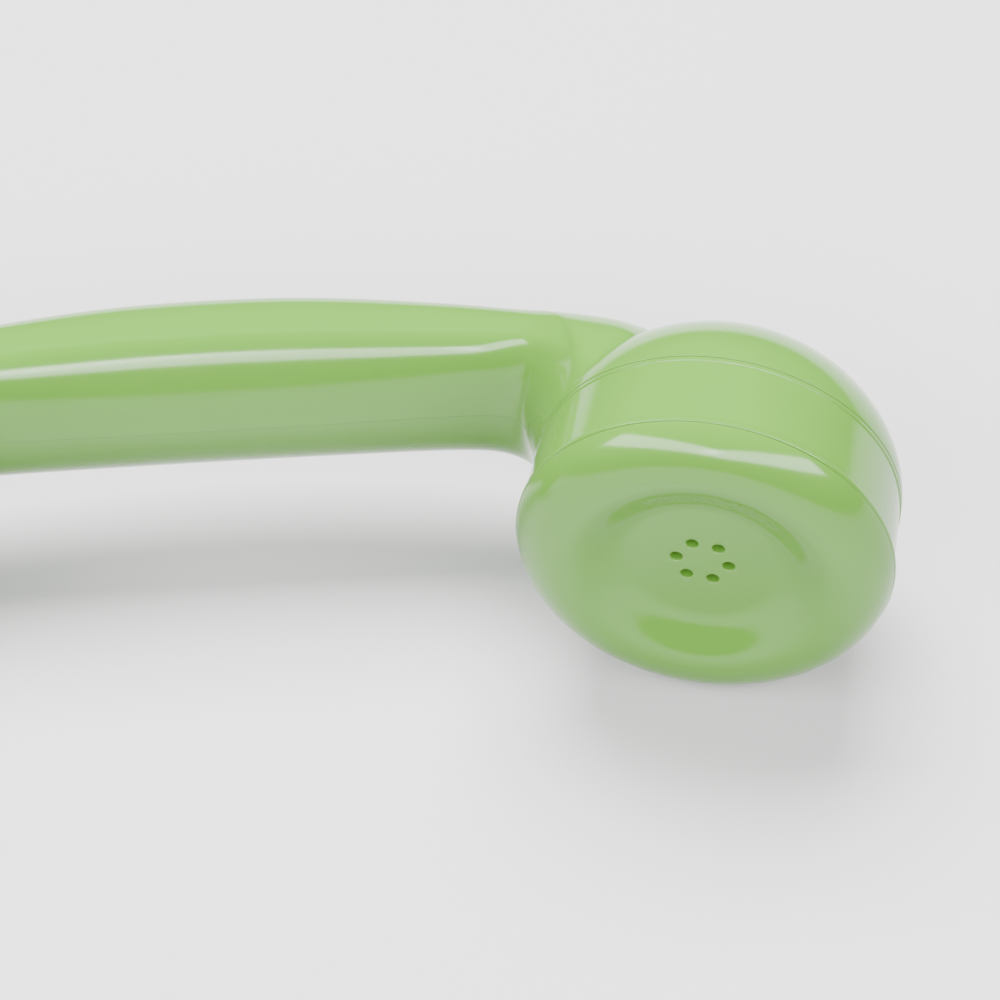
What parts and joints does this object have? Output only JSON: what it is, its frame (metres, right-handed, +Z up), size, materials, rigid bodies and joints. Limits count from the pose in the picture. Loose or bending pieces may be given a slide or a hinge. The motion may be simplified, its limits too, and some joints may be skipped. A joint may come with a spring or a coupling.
{
  "type": "telephone handset",
  "caption": "Telephone handset with a curved grip, domed ends and dished screw caps over a receiver and a transmitter.",
  "frame": {"origin": "middle of the bounding box at the level of the table that the handset lies on, on its side", "axes": "+X along the handset towards the receiver, -Y the way the caps face, +Y towards the domed backs, +Z up, across the grip"},
  "size_m": [0.2253, 0.0664, 0.062],
  "materials": {
    "shell": "glossy moulded",
    "bush_plastic": "satin",
    "steel": "plated",
    "soft_iron": "plated",
    "magnet": "dull",
    "aluminium": "satin",
    "brass": "bright",
    "copper": "enamelled",
    "black_plastic": "moulded",
    "board": "laminated",
    "rubber": "moulded",
    "felt": "woven",
    "film": "thin film",
    "carbon": "granular",
    "white_sleeve": "insulated",
    "green_sleeve": "insulated"
  },
  "bodies": {
    "root": {"handle": "shell", "receiver_collar": "shell", "transmitter_collar": "shell", "receiver_collar_screws": "steel", "transmitter_collar_screws": "steel", "receiver_seat": "rubber", "transmitter_seat": "rubber", "receiver_case": "steel", "receiver_grille": "aluminium", "receiver_diaphragm": "soft_iron", "receiver_magnet": "magnet", "receiver_pole_ring": "soft_iron", "receiver_pole": "soft_iron", "receiver_coil": "copper", "receiver_terminal_board": "board", "receiver_terminal_screws": "brass", "transmitter_cup": "black_plastic", "transmitter_case": "aluminium", "transmitter_grille": "aluminium", "transmitter_diaphragm": "aluminium", "transmitter_electrode": "brass", "transmitter_carbon": "carbon", "transmitter_carbon_cell": "brass", "transmitter_centre_spring": "brass", "transmitter_ring_spring": "brass", "transmitter_terminal_screws": "brass", "wire_white": "white_sleeve", "wire_green": "green_sleeve", "cord_bush": "bush_plastic", "cord_clamp": "steel", "cord_clamp_screws": "steel"},
    "receiver_washer": {"receiver_washer": "rubber"},
    "receiver_cap": {"receiver_cap": "shell", "receiver_felt": "felt"},
    "transmitter_washer": {"transmitter_washer": "rubber"},
    "transmitter_cap": {"transmitter_cap": "shell", "transmitter_membrane": "film"}
  },
  "joints": [
    {"name": "receiver_washer_slide", "type": "slide", "parent": "root", "child": "receiver_washer", "axis": [-0.225, -0.9744, 0], "range_m": [0, 0.006]},
    {"name": "receiver_cap_turn", "type": "hinge", "parent": "receiver_washer", "child": "receiver_cap", "pos_m": [0.0795, -0.02206, 0.031], "axis": [-0.225, -0.9744, 0], "range_deg": [0, 720]},
    {"name": "transmitter_washer_slide", "type": "slide", "parent": "root", "child": "transmitter_washer", "axis": [0.225, -0.9744, 0], "range_m": [0, 0.006]},
    {"name": "transmitter_cap_turn", "type": "hinge", "parent": "transmitter_washer", "child": "transmitter_cap", "pos_m": [-0.0795, -0.02206, 0.031], "axis": [0.225, -0.9744, 0], "range_deg": [0, 720]}
  ],
  "couplings": [
    {"joint": "receiver_washer_slide", "follows": "receiver_cap_turn", "m_per_rad": 0.00047746},
    {"joint": "transmitter_washer_slide", "follows": "transmitter_cap_turn", "m_per_rad": 0.00047746}
  ]
}
